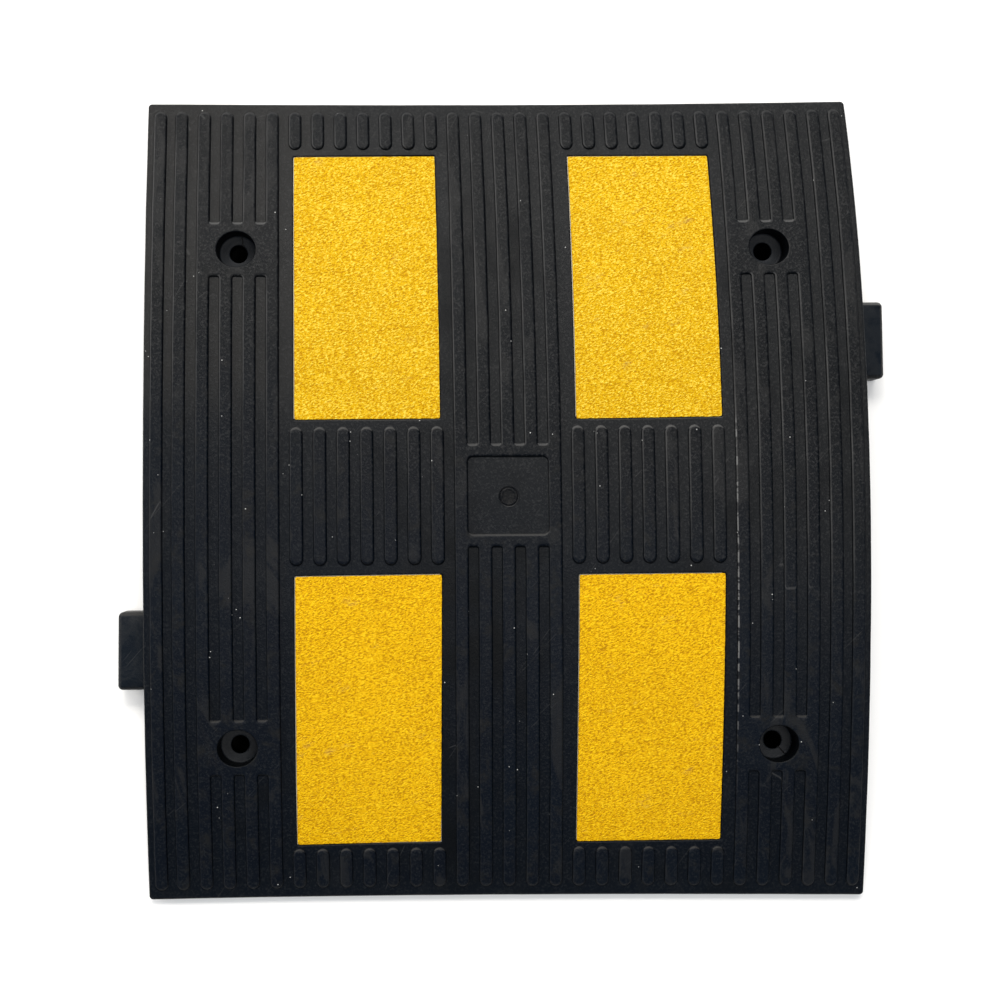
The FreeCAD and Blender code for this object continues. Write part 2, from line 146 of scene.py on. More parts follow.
class Outline:
    """Closed plan outline with rounded corners and a unit normal at each point.

    Corners run anticlockwise, and the normals point out of the enclosed area.
    """

    def __init__(self, corner_points, radii, step=None, arc_step=0.9):
        corner_points = [np.array(c, float) for c in corner_points]
        points, normals = [], []
        arcs = []
        count = len(corner_points)
        for i, corner in enumerate(corner_points):
            before = corner - corner_points[i - 1]
            after = corner_points[(i + 1) % count] - corner
            before /= np.linalg.norm(before)
            after /= np.linalg.norm(after)
            turn = math.copysign(1.0, before[0] * after[1] - before[1] * after[0])
            radius = radii[i]
            angle = math.acos(before @ after)
            setback = radius * math.tan(angle / 2)
            centre = corner - before * setback + np.array([-before[1], before[0]]) * radius * turn
            first = np.array([before[1], -before[0]])
            segments = max(3, int(math.ceil(radius * angle / arc_step)))
            turns = np.linspace(0, angle, segments + 1)[:, None] * turn
            sideways = np.array([-first[1], first[0]])
            arc_normals = first * np.cos(turns) + sideways * np.sin(turns)
            arcs.append((centre + arc_normals * radius * turn, arc_normals))
        for i, (arc_points, arc_normals) in enumerate(arcs):
            points.append(arc_points)
            normals.append(arc_normals)
            between = split_line(arc_points[-1], arcs[(i + 1) % count][0][0], step)
            if len(between):
                points.append(between)
                normals.append(np.repeat(arc_normals[-1:], len(between), 0))
        points = np.concatenate(points)
        normals = np.concatenate(normals)
        apart = np.linalg.norm(points - np.roll(points, 1, 0), axis=1) > 1e-4
        self.points = points[apart]
        self.normals = normals[apart]

    def reversed_normals(self):
        """The same outline seen from the area around it."""
        self.normals = -self.normals
        return self

    def offset(self, distance, end_slope=0.0):
        """Points moved along the normals, and further where the outline runs across Y."""
        stretch = 1.0 + end_slope * self.normals[:, 1:] ** 2
        return self.points + self.normals * distance * stretch


def box_outline(x0, y0, x1, y1, radius, step=None, arc_step=0.9):
    return Outline([(x0, y0), (x1, y0), (x1, y1), (x0, y1)], [radius] * 4, step, arc_step)


def ellipse(x, y, radius_x, radius_y, count=56):
    angles = np.linspace(0, 2 * math.pi, count, endpoint=False)
    return np.stack([x + radius_x * np.cos(angles), y + radius_y * np.sin(angles)], 1)


def comb_outline(numbers, first_land, last_land):
    """Ribs joined by lands: a comb with its teeth towards the front and the rear edge."""
    half = RIB_WIDTH / 2
    points, radii = [], []
    for number in numbers:
        x = rib_x(number)
        points += [(x - half, -RIB_REACH), (x + half, -RIB_REACH)]
        radii += [half, half]
        if number != numbers[-1]:
            points += [(x + half, first_land), (x + PITCH - half, first_land)]
            radii += [GROOVE_CORNER] * 2
    for number in reversed(numbers):
        x = rib_x(number)
        points += [(x + half, RIB_REACH), (x - half, RIB_REACH)]
        radii += [half, half]
        if number != numbers[0]:
            points += [(x - half, last_land), (x - PITCH + half, last_land)]
            radii += [GROOVE_CORNER] * 2
    return Outline(points, radii)


# Shell ------------------------------------------------------------------------------------


def enclosed(points, loops):
    """Which points lie inside an odd number of the loops."""
    starts = np.concatenate(loops)
    ends = np.concatenate([np.roll(loop, -1, 0) for loop in loops])
    slope = (ends[:, 0] - starts[:, 0]) / np.where(
        ends[:, 1] == starts[:, 1], 1.0, ends[:, 1] - starts[:, 1]
    )
    inside = np.zeros(len(points), bool)
    for first in range(0, len(points), 400):
        px = points[first : first + 400, 0, None]
        py = points[first : first + 400, 1, None]
        spans = (starts[:, 1] > py) != (ends[:, 1] > py)
        left = px < slope * (py - starts[:, 1]) + starts[:, 0]
        inside[first : first + 400] = (spans & left).sum(1) % 2 == 1
    return inside


class Shell:
    """Vertices and faces of one mesh, in millimetres."""

    def __init__(self):
        self.points = []
        self.faces = []

    def loop(self, xy, z):
        """Add a loop of vertices at a height or heights, and return their numbers."""
        start = len(self.points)
        heights = np.broadcast_to(z, (len(xy),))
        self.points += [(p[0], p[1], h) for p, h in zip(xy, heights)]
        return np.arange(start, start + len(xy))

    def band(self, first, second):
        """Quads between two loops of the same length."""
        for i in range(len(first)):
            j = (i + 1) % len(first)
            self.faces.append((first[i], first[j], second[j], second[i]))

    def bands(self, loops):
        for first, second in zip(loops, loops[1:]):
            self.band(first, second)
        return loops[0], loops[-1]

    def on_crown(self, outline, profile, end_slope=0.0):
        """Bands that follow an outline; profile rows are (offset, height over the crown)."""
        loops = []
        for distance, height in profile:
            xy = outline.offset(distance, end_slope)
            loops.append(self.loop(xy, crown(xy[:, 1]) + height))
        return self.bands(loops)

    def at_height(self, outline, profile):
        """Bands that follow an outline; profile rows are (offset, absolute height)."""
        return self.bands([self.loop(outline.offset(d), z) for d, z in profile])

    def fill(self, outer, holes=(), extra=None, height=None):
        """Triangulate the area inside the outer loop and outside the holes."""
        loops = [outer, *holes]
        numbers = np.concatenate(loops)
        plan = np.array([self.points[n][:2] for n in numbers])
        edges = []
        first = 0
        for loop in loops:
            count = len(loop)
            edges += [(first + i, first + (i + 1) % count) for i in range(count)]
            first += count
        outlines = [plan[[e[0] for e in edges[a:b]]] for a, b in loop_spans(loops)]
        if extra is not None:
            extra = extra[enclosed(extra, outlines)]
            added = self.loop(extra, height(extra))
            numbers = np.concatenate([numbers, added])
            plan = np.concatenate([plan, extra])
        result = delaunay_2d_cdt([Vector(p) for p in plan], edges, [], 0, 1e-6)
        triangles = np.array([f for f in result[2] if len(f) == 3])
        source = [o[0] for o in result[3]]
        placed = np.array([tuple(v) for v in result[0]])
        keep = enclosed(placed[triangles].mean(1), outlines)
        for triangle in triangles[keep]:
            self.faces.append(tuple(numbers[source[v]] for v in triangle))


def loop_spans(loops):
    """Start and end of each loop in their concatenation."""
    ends = np.cumsum([len(loop) for loop in loops])
    return zip(ends - [len(loop) for loop in loops], ends)


def grid(x0, x1, y0, y1, step):
    xs = np.arange(x0 + step / 2, x1, step)
    ys = np.arange(y0 + step / 2, y1, step)
    return np.array([(x, y) for y in ys for x in xs])


def grid_about(centre_x, reach_x, reach_y, step):
    return grid(centre_x - reach_x, centre_x + reach_x, -reach_y, reach_y, step)


# Cross-sections: (offset from the outline, height). Positive offsets lead out of it.
RIB_SECTION = (
    (1.15, 0.0), (0.85, 0.0), (0.64, 0.05), (0.5, 0.2), (0.4, 0.48), (0.28, 0.88),
    (0.14, 1.25), (-0.06, 1.56), (-0.33, 1.79), (-0.66, 1.93), (-1.02, 1.99), (-1.35, 2.0),
)
RECESS_SECTION = (
    (1.3, 0.0), (0.95, 0.0), (0.55, -0.04), (0.25, -0.18), (0.07, -0.45), (0.0, -0.9),
    (-0.05, -1.3), (-0.2, -1.48), (-0.6, -RECESS_DEPTH),
)
PLATE_SECTION = (
    (1.3, 2.0), (0.95, 2.0), (0.6, 1.95), (0.3, 1.78), (0.1, 1.48), (-0.05, 1.0),
    (-0.16, 0.5), (-0.3, 0.18), (-0.55, 0.04), (-0.85, 0.0),
)
END_SLOPE = 0.8
LUG_SECTION = (
    (-0.7, 0.0), (-0.2, 0.2), (0.0, 0.7), (0.0, LUG_HEIGHT - 3.2), (-0.3, LUG_HEIGHT - 2.4),
    (-2.0, LUG_HEIGHT - 0.45), (-2.8, LUG_HEIGHT),
)
EDGE_SECTION = (
    (-2.4, 0.0), (-1.8, 0.0), (-1.2, -0.06), (-0.7, -0.24), (-0.3, -0.58), (-0.06, -1.05),
    (0.0, -1.7),
)
FOOT_SECTION = ((0.0, 1.3), (-0.1, 0.6), (-0.42, 0.13), (-1.0, 0.0), (-1.7, 0.0))
GRIP_SECTION = (
    (0.9, 0.0), (0.4, 0.0), (0.08, 0.2), (0.0, 0.7), (-0.2, 2.3), (-0.6, 2.85), (-1.2, 3.0),
)
# Mould mark: (radius, height over the recess floor), from a low lip over a ring groove to a
# dished disc.
MARK_SECTION = (
    (8.4, 0.0), (7.6, 0.02), (7.2, 0.10), (6.9, 0.02), (6.6, -0.3), (6.2, -0.62),
    (5.8, -0.5), (5.5, -0.28), (5.1, -0.3), (4.7, -0.52), (3.4, -0.62), (2.0, -0.66),
    (0.8, -0.67),
)


# Plan corners of the panels, as they lie in the photo: anticlockwise from (-X, -Y).
PANEL_CORNERS = {
    "rear_left": ((-146.3, 52.9), (-46.0, 53.1), (-46.0, 240.7), (-146.2, 239.9)),
    "rear_right": ((47.7, 52.4), (148.6, 53.3), (148.3, 239.9), (48.8, 240.2)),
    "front_left": ((-146.5, -242.1), (-47.2, -240.8), (-45.8, -53.7), (-146.2, -54.4)),
    "front_right": ((46.6, -241.4), (147.0, -240.1), (149.2, -54.1), (48.5, -54.6)),
}


def panel_outline(quarter, gap, radius, step=None):
    """Outline of a panel widened by a gap, with a straight cut between its corners."""
    corner_points = []
    for (x, y), (sx, sy) in zip(PANEL_CORNERS[quarter], ((-1, -1), (1, -1), (1, 1), (-1, 1))):
        corner_points.append((x + sx * gap, y + sy * gap))
    return Outline(corner_points, [radius] * 4, step)


def ribs_and_lands():
    """Raised outlines, each with the groove floors that it encloses."""
    half = RIB_WIDTH / 2
    raised = []
    for number in EDGE_RIBS:
        x = rib_x(number)
        raised.append((box_outline(x - half, -RIB_REACH, x + half, RIB_REACH, half), []))
    spans = ((-RIB_REACH, -SHORT_START), (MIDDLE_START, MIDDLE_END), (SHORT_START, RIB_REACH))
    for number in SHORT_RIBS:
        x = rib_x(number)
        for start, end in spans:
            raised.append((box_outline(x - half, start, x + half, end, half), []))
    land_outer = BOLT_Y + LAND_HALF
    land_inner = BOLT_Y - LAND_HALF
    for numbers in BOLT_RIBS:
        grooves = []
        for number in numbers[:-1]:
            x0 = rib_x(number) + half
            x1 = rib_x(number + 1) - half
            groove = box_outline(x0, -land_inner, x1, land_inner, GROOVE_CORNER)
            grooves.append(groove.reversed_normals())
        raised.append((comb_outline(numbers, -land_outer, land_outer), grooves))
    centre = comb_outline(CENTRE_RIBS, CENTRE_LAND_START, CENTRE_LAND_END)
    raised.append((centre, []))
    return raised


def bolt_hole(shell, x, y):
    """Counterbored hole; returns its loops in the land and in the underside."""
    wide_x, wide_y = COUNTERBORE_RADII
    loops = []
    rim = ((1.7, 2.0), (1.2, 2.0), (0.75, 1.95), (0.36, 1.76), (0.1, 1.42), (0.0, 0.9))
    for distance, height in rim:
        xy = ellipse(x, y, wide_x + distance, wide_y + distance)
        loops.append(shell.loop(xy, crown(xy[:, 1]) + height))
    seat = ((0.0, 6.0), (0.0, 1.4), (-0.2, 0.55), (-0.7, 0.1), (-1.4, 0.0))
    for distance, height in seat:
        xy = ellipse(x, y, wide_x + distance, wide_y + distance)
        loops.append(shell.loop(xy, BOLT_SEAT + height))
    shank = (
        (3.0, BOLT_SEAT), (1.1, BOLT_SEAT), (0.5, BOLT_SEAT - 0.08), (0.12, BOLT_SEAT - 0.4),
        (0.0, BOLT_SEAT - 1.0), (0.0, 0.8), (0.2, 0.25), (0.7, 0.0), (1.4, 0.0),
    )
    for distance, z in shank:
        radius = BOLT_RADIUS + distance
        loops.append(shell.loop(ellipse(x, y, radius, radius), z))
    return shell.bands(loops)


def mould_mark(shell):
    """Round mark in the plate recess floor; returns its outer loop."""
    loops = []
    for radius, height in MARK_SECTION:
        xy = ellipse(*MARK_CENTRE, radius, radius, 40)
        loops.append(shell.loop(xy, crown(xy[:, 1]) + height))
    outer, inner = shell.bands(loops)
    shell.faces.append(tuple(inner))
    return outer


def waver(x, y, size, seed):
    """Smooth noise of about unit size, with features of the given size in millimetres."""
    return noise.noise(Vector((x / size, y / size, seed)))


def mould_shell():
    """Main shell of the moulding, without its lugs and sockets."""
    shell = Shell()
    raised_holes = []
    bolt_tops = {}
    bolt_feet = []
    for sign_x in (-1, 1):
        for sign_y in (-1, 1):
            top, foot = bolt_hole(shell, sign_x * BOLT_X, sign_y * BOLT_Y)
            bolt_tops.setdefault(sign_x, []).append(top)
            bolt_feet.append(foot)

    plate = box_outline(-PLATE_HALF, -PLATE_REACH, PLATE_HALF, PLATE_REACH, PLATE_CORNER)
    plate_rim, plate_floor = shell.on_crown(plate, PLATE_SECTION, END_SLOPE)
    mark = mould_mark(shell)

    def on_floor(xy):
        return crown(xy[:, 1])

    def on_land(xy):
        return crown(xy[:, 1]) + RIB_HEIGHT

    shell.fill(plate_floor, [mark], grid_about(0, 26, 26, 6.5), on_floor)

    for outline, grooves in ribs_and_lands():
        foot, top = shell.on_crown(outline, RIB_SECTION, END_SLOPE)
        raised_holes.append(foot)
        inner = []
        for groove in grooves:
            groove_floor, groove_top = shell.on_crown(groove, RIB_SECTION, END_SLOPE)
            shell.fill(groove_floor)
            inner.append(groove_top)
        centre_x = outline.points[:, 0].mean()
        wide = np.ptp(outline.points[:, 0]) > 3 * PITCH
        if wide and abs(centre_x) < PITCH:
            land = grid_about(0, 36, 34, 8)
            land = land[np.abs(land).max(1) > PLATE_HALF + 3.0]
            shell.fill(top, [plate_rim], land, on_land)
        elif wide:
            side = int(math.copysign(1, centre_x))
            inner += bolt_tops[side]
            land = grid_about(centre_x, 32, BOLT_Y + 18, 7.2)
            offset_x = land[:, 0] - side * BOLT_X
            offset_y = np.abs(land[:, 1]) - BOLT_Y
            off_the_bolt = np.hypot(offset_x, offset_y) > 17.0
            off_the_ends = np.abs(offset_y) < 16.0
            shell.fill(top, inner, land[off_the_bolt & off_the_ends], on_land)
        else:
            shell.fill(top)

    recesses = []
    for quarter in PANEL_CORNERS:
        recess = panel_outline(quarter, PANEL_GAP, 1.2)
        rim, floor = shell.on_crown(recess, RECESS_SECTION)
        recesses.append(rim)
        shell.fill(floor, (), inner_grid(recess, 3.0, 12.0), on_recess)

    front = -HALF_LENGTH - FRONT_OVERHANG
    edge = box_outline(-HALF_WIDTH, front, HALF_WIDTH, HALF_LENGTH, 2.6, None, 0.6)
    top_rim, wall_top = shell.on_crown(edge, EDGE_SECTION)
    top_of_wall = crown(edge.points[:, 1]) + EDGE_SECTION[-1][1]
    foot_of_wall = FOOT_SECTION[0][1]
    walls = [wall_top]
    for part in (0.75, 0.5, 0.25):
        z = foot_of_wall + part * (top_of_wall - foot_of_wall)
        walls.append(shell.loop(edge.points, z))
    wall_foot, underside = shell.at_height(edge, FOOT_SECTION)
    shell.bands([*walls, wall_foot])
    shell.fill(top_rim, raised_holes + recesses)

    grip_rims = []
    for number in range(-GRIPS_EACH_WAY, GRIPS_EACH_WAY + 1):
        front = GRIP_PITCH * number - GRIP_HALF_WIDTH
        rear = GRIP_PITCH * number + GRIP_HALF_WIDTH
        groove = box_outline(-GRIP_HALF_LENGTH, front, GRIP_HALF_LENGTH, rear, 2.0, 20.0)
        rim, ceiling = shell.at_height(groove, GRIP_SECTION)
        grip_rims.append(rim)
        shell.fill(ceiling)
    shell.fill(underside, grip_rims + bolt_feet)
    return shell


def inner_grid(outline, margin, step):
    """Grid of points inside an outline, clear of its edge."""
    low = outline.points.min(0) + margin
    high = outline.points.max(0) - margin
    points = grid(low[0], high[0], low[1], high[1], step)
    return points[enclosed(points, [outline.offset(-margin)])]


def on_recess(xy):
    return crown(xy[:, 1]) - RECESS_DEPTH


# Plan shifts of the whole moulding, fitted by least squares to points measured in the photo.
# They are partly the real module's unevenness, and partly make up for the camera's shift being
# smaller than the photo's. Each row holds the powers of (x / HALF_WIDTH) and (y / HALF_LENGTH),
# and the shift in X and Y in millimetres that this term gives.
PLAN_SHIFTS = (
    (0, 0, 0.24, -0.49), (0, 1, 0.03, -0.52), (0, 2, -0.90, 0.68), (0, 3, -1.18, 0.49),
    (1, 0, -0.42, -0.84), (1, 1, -0.86, 1.27), (1, 2, 0.88, -0.73), (1, 3, -0.81, 0.61),
    (2, 0, 0.95, -0.18), (2, 1, 0.96, 1.60), (2, 2, -0.07, 0.05), (3, 0, -0.08, 0.38),
    (3, 1, 0.90, -0.07),
)


def settle(thing):
    """Move a mesh's vertices by the plan shifts."""
    for vertex in thing.data.vertices:
        u = min(1.0, max(-1.0, vertex.co.x / MM / HALF_WIDTH))
        v = min(1.0, max(-1.0, vertex.co.y / MM / HALF_LENGTH))
        for power_x, power_y, shift_x, shift_y in PLAN_SHIFTS:
            term = MM * u**power_x * v**power_y
            vertex.co.x += shift_x * term
            vertex.co.y += shift_y * term


def mesh_object(name, points, faces, material=None):
    mesh = bpy.data.meshes.new(name)
    mesh.from_pydata([Vector(p) * MM for p in points], [], faces)
    mesh.validate()
    thing = bpy.data.objects.new(name, mesh)
    bpy.context.scene.collection.objects.link(thing)
    if material is not None:
        mesh.materials.append(material)
    return thing


def tidy_mesh(thing, sharp_degrees):
    """Outward normals, and smooth shading except over sharp edges."""
    mesh = bmesh.new()
    mesh.from_mesh(thing.data)
    bmesh.ops.remove_doubles(mesh, verts=mesh.verts, dist=2e-6)
    bmesh.ops.recalc_face_normals(mesh, faces=mesh.faces)
    limit = math.radians(sharp_degrees)
    for face in mesh.faces:
        face.smooth = True
    for edge in mesh.edges:
        edge.smooth = edge.calc_face_angle(0.0) < limit
    mesh.to_mesh(thing.data)
    mesh.free()


def rounded_block(name, x0, x1, y0, y1, z0, z1, bevel):
    """Closed block with rounded edges."""
    mesh = bmesh.new()
    bmesh.ops.create_cube(mesh, size=1.0)
    for vertex in mesh.verts:
        vertex.co.x = x0 if vertex.co.x < 0 else x1
        vertex.co.y = y0 if vertex.co.y < 0 else y1
        vertex.co.z = z0 if vertex.co.z < 0 else z1
    bmesh.ops.bevel(
        mesh, geom=mesh.edges[:], offset=bevel, segments=3, profile=0.5, affect="EDGES"
    )
    for vertex in mesh.verts:
        vertex.co *= MM
    data = bpy.data.meshes.new(name)
    mesh.to_mesh(data)
    mesh.free()
    thing = bpy.data.objects.new(name, data)
    bpy.context.scene.collection.objects.link(thing)
    return thing


def combine(target, tools, operation):
    """Exact boolean of the tools with the target, applied to its mesh."""
    for tool in tools:
        modifier = target.modifiers.new("combine", "BOOLEAN")
        modifier.operation = operation
        modifier.solver = "EXACT"
        modifier.object = tool
        graph = bpy.context.evaluated_depsgraph_get()
        data = bpy.data.meshes.new_from_object(target.evaluated_get(graph))
        target.modifiers.clear()
        target.data = data
        bpy.data.objects.remove(tool)


def lug_block(x0, x1, y0, y1):
    """Closed block with rounded corners in plan and chamfered top edges."""
    shell = Shell()
    outline = box_outline(x0, y0, x1, y1, LUG_CORNER, 9.0, 0.6)
    bottom, top = shell.at_height(outline, LUG_SECTION)
    shell.fill(bottom)
    shell.fill(top)
    lug = mesh_object("lug", shell.points, shell.faces)
    tidy_mesh(lug, 40)
    return lug


def make_rubber_body(material):
    shell = mould_shell()
    body = mesh_object("moulded_rubber_body", shell.points, shell.faces, material)
    tidy_mesh(body, 40)
    for vertex in body.data.vertices:
        x, y, z = vertex.co / MM
        relief = z - float(crown(y))
        if z > 2.0 and relief > -1.2:
            vertex.co.z += MM * (0.10 * waver(x, y, 24, 3.1) + 0.16 * waver(x, y, 110, 8.4))
            vertex.co.x += MM * 0.16 * waver(x, y, 30, 5.7)
            vertex.co.y += MM * 0.12 * waver(x, y, 30, 9.2)
    lugs, sockets = lugs_and_sockets()
    combine(body, lugs, "UNION")
    combine(body, sockets + seat_lines(), "DIFFERENCE")
    tidy_mesh(body, 40)
    mark_surface(body)
    settle(body)
    return body


def lugs_and_sockets():
    """Blocks of the lugs, and the cutters of the sockets on the other half of each side."""
    lugs, sockets = [], []
    depth = LUG_OUTER - HALF_WIDTH + SOCKET_GAP
    reach = LUG_HALF + SOCKET_GAP
    for side, further_along, further_out in LUGS:
        along = side * LUG_OFFSET + further_along
        xs = sorted((side * (HALF_WIDTH - LUG_ROOT), side * (LUG_OUTER + further_out)))
        lugs.append(lug_block(*xs, along - LUG_HALF, along + LUG_HALF))
        xs = sorted((side * (HALF_WIDTH - depth), side * (HALF_WIDTH + SOCKET_OVERSHOOT)))
        ys = sorted((-side * (LUG_OFFSET - reach), -side * (LUG_OFFSET + reach)))
        zs = (-SOCKET_OVERSHOOT, LUG_HEIGHT + SOCKET_GAP)
        sockets.append(rounded_block("socket", *xs, *ys, *zs, SOCKET_BEVEL))
    return lugs, sockets


def mark_surface(body):
    """Vertex values for the material: height over the crown, and flags for seats and bores."""
    relief = body.data.attributes.new("relief", "FLOAT", "POINT")
    seat = body.data.attributes.new("seat", "FLOAT", "POINT")
    bore = body.data.attributes.new("bore", "FLOAT", "POINT")
    for vertex in body.data.vertices:
        x, y, z = vertex.co / MM
        height = z - float(crown(y))
        relief.data[vertex.index].value = height
        from_bolt = math.hypot(abs(x) - BOLT_X, abs(y) - BOLT_Y)
        at_seat = from_bolt < 14.0 and abs(z - BOLT_SEAT) < 0.6
        seat.data[vertex.index].value = 1.0 if at_seat else 0.0
        in_bore = from_bolt < 14.2 and 0.5 < z and height < 1.8
        bore.data[vertex.index].value = 1.0 if in_bore else 0.0


# Mould flash lines across two of the bolt seats: quarter of the module (signs of X and Y), and
# the start and end of the line from the bolt's axis.
SEAT_LINES = (
    ((-1, 1), (3.3, 4.6), (2.3, 13.2)),
    ((1, -1), (3.8, -4.6), (9.2, -10.6)),
)


def seat_lines():
    """Thin wedges that cut the lines into the bolt seats."""
    wedges = []
    for (sign_x, sign_y), start, end in SEAT_LINES:
        axis = np.array([sign_x * BOLT_X, sign_y * BOLT_Y])
        start, end = axis + start, axis + end
        run = (end - start) / np.linalg.norm(end - start)
        across = np.array([-run[1], run[0]]) * SEAT_LINE_HALF
        shell = Shell()
        plan = np.array([start - across, end - across, end + across, start + across])
        low = shell.loop(plan, BOLT_SEAT - SEAT_LINE_DEPTH)
        high = shell.loop(plan, BOLT_SEAT + 0.4)
        shell.band(low, high)
        shell.faces += [tuple(low), tuple(high)]
        wedge = mesh_object("seat_line", shell.points, shell.faces)
        tidy_mesh(wedge, 40)
        wedges.append(wedge)
    return wedges


# Reflective panels ------------------------------------------------------------------------


def make_panel(quarter, seed, material):
    """Embossed sheet that follows the crown, with a slightly uneven cut edge."""
    outline = panel_outline(quarter, 0.0, 1.3, 1.6)
    wobble = np.array([waver(x, y, 4.0, seed) for x, y in outline.points])
    outline.points = outline.points + outline.normals * (wobble[:, None] * 0.22 - 0.08)

    def emboss(xy):
        height = crown(xy[:, 1]) + PANEL_LEVEL
        for i, (x, y) in enumerate(xy):
            height[i] += 0.10 * waver(x, y * 1.8, 3.4, seed) + 0.07 * waver(x, y, 17.0, seed)
        return height

    shell = Shell()
    loops = []
    base = PANEL_LEVEL - PANEL_THICKNESS
    for distance, height in ((-0.4, base), (0.0, base), (0.0, PANEL_LEVEL - 0.3)):
        xy = outline.offset(distance)
        loops.append(shell.loop(xy, crown(xy[:, 1]) + height))
    for distance, drop in ((-0.08, 0.12), (-0.28, 0.03), (-0.6, 0.0)):
        xy = outline.offset(distance)
        loops.append(shell.loop(xy, emboss(xy) - drop))
    bottom, top = shell.bands(loops)
    shell.fill(top, (), inner_grid(outline, 1.6, 1.45), emboss)

    def under(xy):
        return crown(xy[:, 1]) + base

    shell.fill(bottom, (), inner_grid(outline, 3.0, 12.0), under)
    panel = mesh_object(f"embossed_panel_{quarter}", shell.points, shell.faces, material)
    tidy_mesh(panel, 50)
    settle(panel)
    return panel


# Materials --------------------------------------------------------------------------------


class Nodes:
    """Small helper that makes and links shader nodes."""

    def __init__(self, name):
        self.material = bpy.data.materials.new(name)
        self.material.use_nodes = True
        self.tree = self.material.node_tree
        self.shader = self.tree.nodes["Principled BSDF"]
        self.place = self.tree.nodes.new("ShaderNodeTexCoord").outputs["Object"]

    def link(self, source, socket):
        self.tree.links.new(source, socket)

    def stretched(self, scale, angle=0.0):
        """Place scaled per axis, for a pattern turned by an angle in plan."""
        node = self.tree.nodes.new("ShaderNodeMapping")
        node.vector_type = "TEXTURE"
        node.inputs["Scale"].default_value = [1 / part for part in scale]
        node.inputs["Rotation"].default_value = (0, 0, math.radians(angle))
        self.link(self.place, node.inputs["Vector"])
        return node.outputs["Vector"]

    def noise(self, scale, detail=3.0, roughness=0.5, vector=None, distortion=0.0):
        node = self.tree.nodes.new("ShaderNodeTexNoise")
        node.inputs["Scale"].default_value = scale
        node.inputs["Detail"].default_value = detail
        node.inputs["Roughness"].default_value = roughness
        node.inputs["Distortion"].default_value = distortion
        self.link(vector or self.place, node.inputs["Vector"])
        return node.outputs["Fac"]

    def cells(self, scale, vector=None, feature="F1"):
        node = self.tree.nodes.new("ShaderNodeTexVoronoi")
        node.feature = feature
        node.inputs["Scale"].default_value = scale
        self.link(vector or self.place, node.inputs["Vector"])
        return node.outputs["Distance"]

    def attribute(self, name):
        node = self.tree.nodes.new("ShaderNodeAttribute")
        node.attribute_name = name
        return node.outputs["Fac"]

    def along(self, direction):
        """Distance in metres along a direction."""
        return self.dot(self.place, direction)

    def facing(self, direction):
        """How far the surface faces a direction: 1 where it faces it squarely."""
        geometry = self.tree.nodes.new("ShaderNodeNewGeometry")
        return self.dot(geometry.outputs["Normal"], direction)

    def dot(self, vector, direction):
        node = self.tree.nodes.new("ShaderNodeVectorMath")
        node.operation = "DOT_PRODUCT"
        node.inputs[1].default_value = direction
        self.link(vector, node.inputs[0])
        return node.outputs["Value"]

    def remap(self, value, low, high, out_low=0.0, out_high=1.0, smooth=True):
        node = self.tree.nodes.new("ShaderNodeMapRange")
        node.interpolation_type = "SMOOTHSTEP" if smooth else "LINEAR"
        node.inputs["From Min"].default_value = low
        node.inputs["From Max"].default_value = high
        node.inputs["To Min"].default_value = out_low
        node.inputs["To Max"].default_value = out_high
        self.link(value, node.inputs["Value"])
        return node.outputs["Result"]

    def maths(self, operation, a, b=None):
        node = self.tree.nodes.new("ShaderNodeMath")
        node.operation = operation
        for socket, value in zip(node.inputs, (a, b)):
            if isinstance(value, (int, float)):
                socket.default_value = value
            elif value is not None:
                self.link(value, socket)
        return node.outputs["Value"]

    def times(self, a, b):
        return self.maths("MULTIPLY", a, b)

    def magnitude(self, value):
        return self.maths("ABSOLUTE", value)

    def mix(self, factor, a, b):
        node = self.tree.nodes.new("ShaderNodeMix")
        node.data_type = "RGBA"
        sockets = (node.inputs[0], node.inputs[6], node.inputs[7])
        for socket, value in zip(sockets, (factor, a, b)):
            if isinstance(value, tuple):
                socket.default_value = (*value, 1.0)
            elif isinstance(value, (int, float)):
                socket.default_value = value
            else:
                self.link(value, socket)
        return node.outputs[2]

    def bump(self, height, strength, distance, normal=None):
        node = self.tree.nodes.new("ShaderNodeBump")
        node.inputs["Strength"].default_value = strength
        node.inputs["Distance"].default_value = distance
        self.link(height, node.inputs["Height"])
        if normal is not None:
            self.link(normal, node.inputs["Normal"])
        return node.outputs["Normal"]


class RubberNodes(Nodes):
    """Nodes of the rubber, with the patterns that several of its layers share."""

    def __init__(self, name):
        super().__init__(name)
        self.mottle = self.noise(70.0, 7.0, 0.72, None, 0.4)
        self.pores = self.noise(600.0, 3.0, 0.8)
        self.relief = self.attribute("relief")
        self.across = self.along((1.0, 0.0, 0.0))
        self.lengthwise = self.along((0.0, 1.0, 0.0))
        # Front-to-rear gradient that carries painted light: a painted sheen towards the rear and a
        # painted blue sky reflection towards the front.
        self.rearward_painted_light = self.remap(self.along((0.25, 1.0, 0.0)), -0.10, 0.10)
        # Masks of the walls facing the rear and the rib shoulders facing left, where painted
        # highlights go. The left shoulders also carry one worn rib edge.
        self.rear_walls = self.remap(self.facing((0.0, 1.0, 0.0)), 0.33, 0.60)
        shoulder = self.times(
            self.remap(self.relief, 1.0, 1.5), self.remap(self.relief, 2.05, 1.95)
        )
        leftward = self.remap(self.facing((-1.0, 0.0, 0.0)), 0.10, 0.35)
        self.left_shoulders = self.times(leftward, shoulder)


